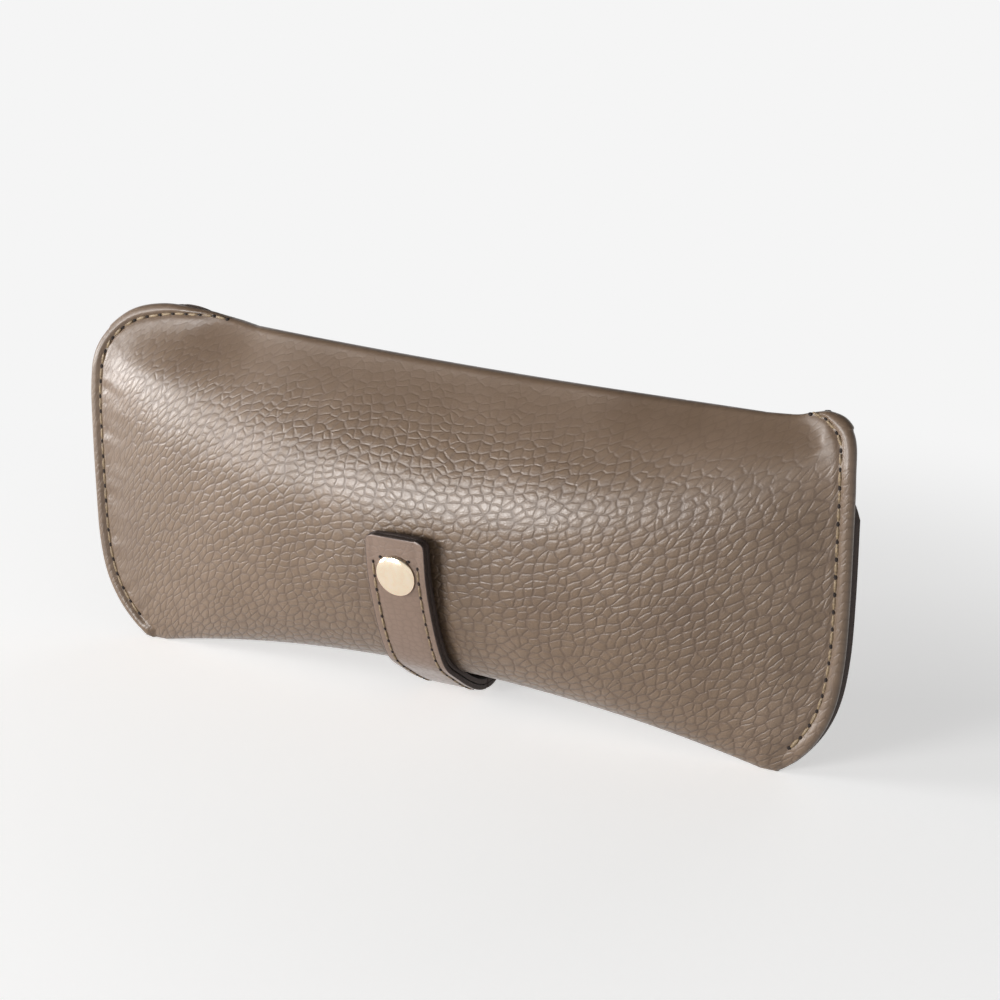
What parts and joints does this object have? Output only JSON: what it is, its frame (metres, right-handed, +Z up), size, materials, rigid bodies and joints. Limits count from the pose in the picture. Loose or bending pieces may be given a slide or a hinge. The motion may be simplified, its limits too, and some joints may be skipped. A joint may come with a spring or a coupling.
{
  "type": "glasses case",
  "caption": "Soft padded glasses case with a flap over its back mouth and a strap that runs under it to a press stud on the front.",
  "frame": {"origin": "under the middle of the case, on the surface that it stands on", "axes": "+X along the length, +Y from the snapped front towards the flap at the back, +Z up"},
  "size_m": [0.18, 0.0396, 0.0787],
  "materials": {
    "taupe_leather": "tumbled grain, soft sheen",
    "strap_leather": "tumbled grain with dark painted edges",
    "strap_backing": "smooth, matte",
    "black_lining": "microsuede, matte",
    "foam_padding": "thin padding, hidden",
    "tan_thread": "waxed polyester thread",
    "polished_gold": "polished pale gold plating",
    "plated_steel": "pressed and plated"
  },
  "bodies": {
    "pocket": {"pocket_leather": "taupe_leather", "pocket_lining": "black_lining", "front_padding": "foam_padding", "back_padding": "foam_padding", "left_seam_thread": "tan_thread", "right_seam_thread": "tan_thread", "mouth_thread": "tan_thread", "snap_stud": "plated_steel", "snap_washer": "plated_steel"},
    "flap": {"flap_leather": "taupe_leather", "flap_lining": "black_lining", "flap_thread": "tan_thread", "strap_base_leather": "strap_leather", "strap_base_backing": "strap_backing", "strap_base_thread": "tan_thread"},
    "strap_bend": {"strap_bend_leather": "strap_leather", "strap_bend_backing": "strap_backing"},
    "strap_tip": {"strap_tip_leather": "strap_leather", "strap_tip_backing": "strap_backing", "strap_tip_thread": "tan_thread", "snap_cap": "polished_gold", "snap_socket": "plated_steel"}
  },
  "joints": [
    {"name": "flap_fold", "type": "hinge", "parent": "pocket", "child": "flap", "pos_m": [0, 0.00349, 0.07374], "axis": [1, 0, 0], "range_deg": [0, 100]},
    {"name": "strap_back_bend", "type": "hinge", "parent": "flap", "child": "strap_bend", "pos_m": [0, 0.01124, 0.00069], "axis": [1, 0, 0], "range_deg": [0, 120]},
    {"name": "strap_front_bend", "type": "hinge", "parent": "strap_bend", "child": "strap_tip", "pos_m": [0, 0.00227, 0.00106], "axis": [1, 0, 0], "range_deg": [0, 90]}
  ],
  "couplings": [
    {"joint": "strap_back_bend", "follows": "flap_fold", "ratio": 1.2},
    {"joint": "strap_front_bend", "follows": "flap_fold", "ratio": 0.9}
  ]
}
